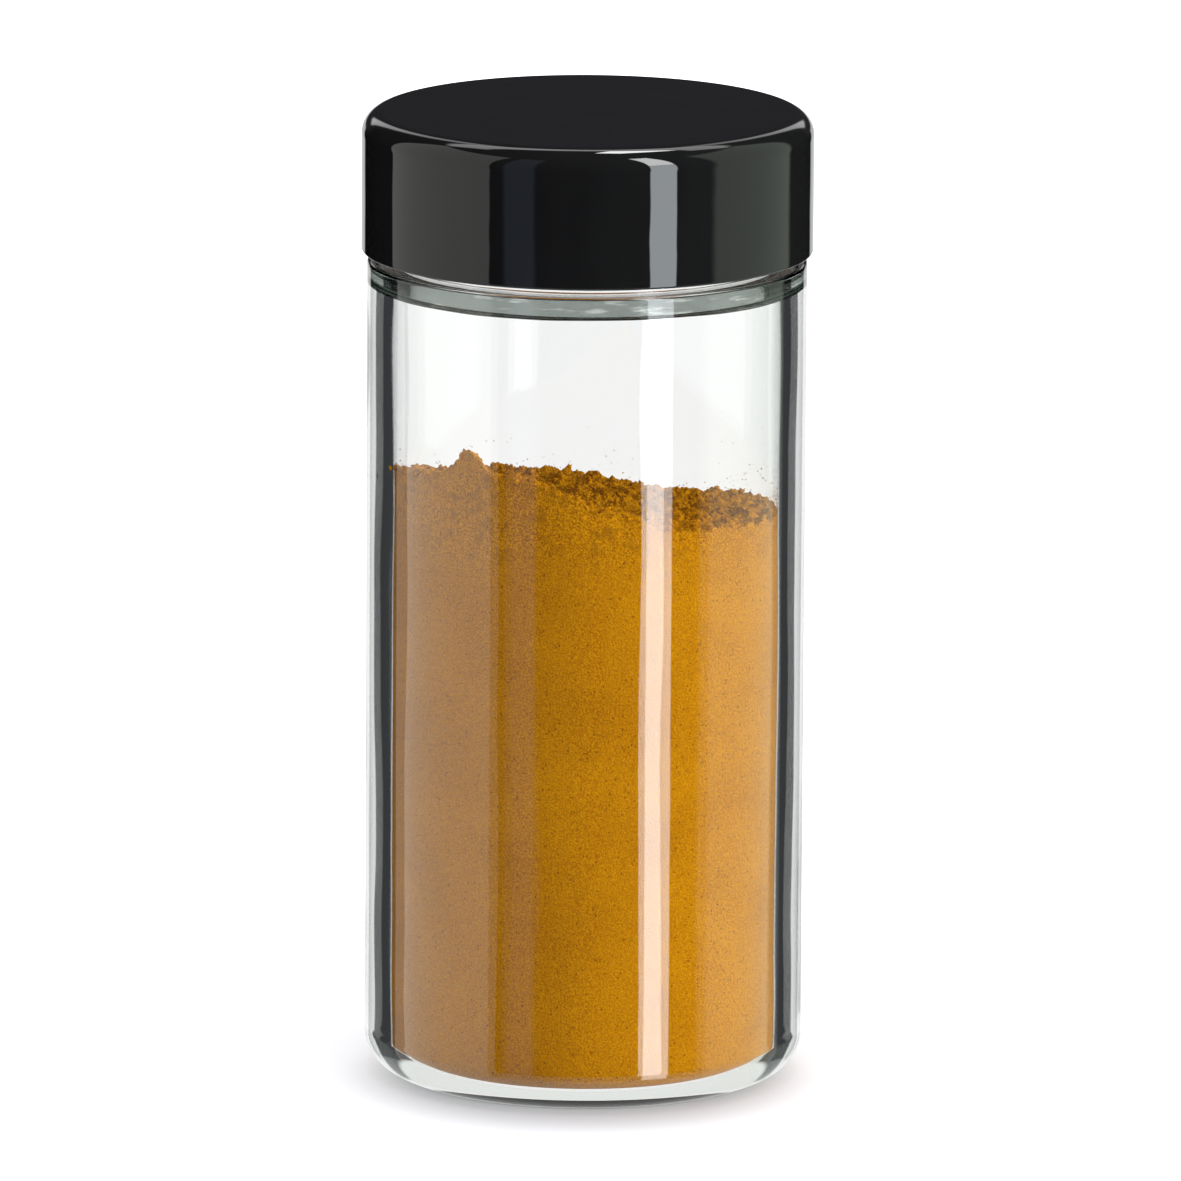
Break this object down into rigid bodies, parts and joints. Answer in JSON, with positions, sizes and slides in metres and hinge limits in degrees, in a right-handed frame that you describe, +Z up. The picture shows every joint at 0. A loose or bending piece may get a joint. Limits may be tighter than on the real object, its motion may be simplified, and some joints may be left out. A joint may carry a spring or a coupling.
{
  "type": "spice jar",
  "caption": "Straight-sided clear glass jar of orange-yellow ground spice, closed by a smooth glossy black screw lid.",
  "frame": {"origin": "centre of the base, on the surface that the jar stands on", "axes": "+Z up along the jar's axis, -Y towards the front of the picture, +X to its right"},
  "size_m": [0.0508, 0.0508, 0.11],
  "materials": {
    "clear_glass": "clear flint glass, smooth and slightly wavy, faint green in its thick edges",
    "ground_spice": "fine orange-yellow powder with darker grains",
    "black_shell": "mirror-gloss black",
    "white_insert": "satin white",
    "liner_foam": "matt white foam"
  },
  "bodies": {
    "jar": {"glass_jar": "clear_glass", "ground_spice": "ground_spice"},
    "liner": {"lid_liner": "liner_foam"},
    "lid": {"lid_shell": "black_shell", "lid_insert": "white_insert"}
  },
  "joints": [
    {"name": "lid_rise", "type": "slide", "parent": "jar", "child": "liner", "axis": [0, 0, 1], "range_m": [0, 0.0211]},
    {"name": "lid_turn", "type": "hinge", "parent": "liner", "child": "lid", "pos_m": [0, 0, 0.1], "axis": [0, 0, 1], "range_deg": [0, 1800]}
  ],
  "couplings": [
    {"joint": "lid_rise", "follows": "lid_turn", "m_per_rad": 0.00066845}
  ]
}
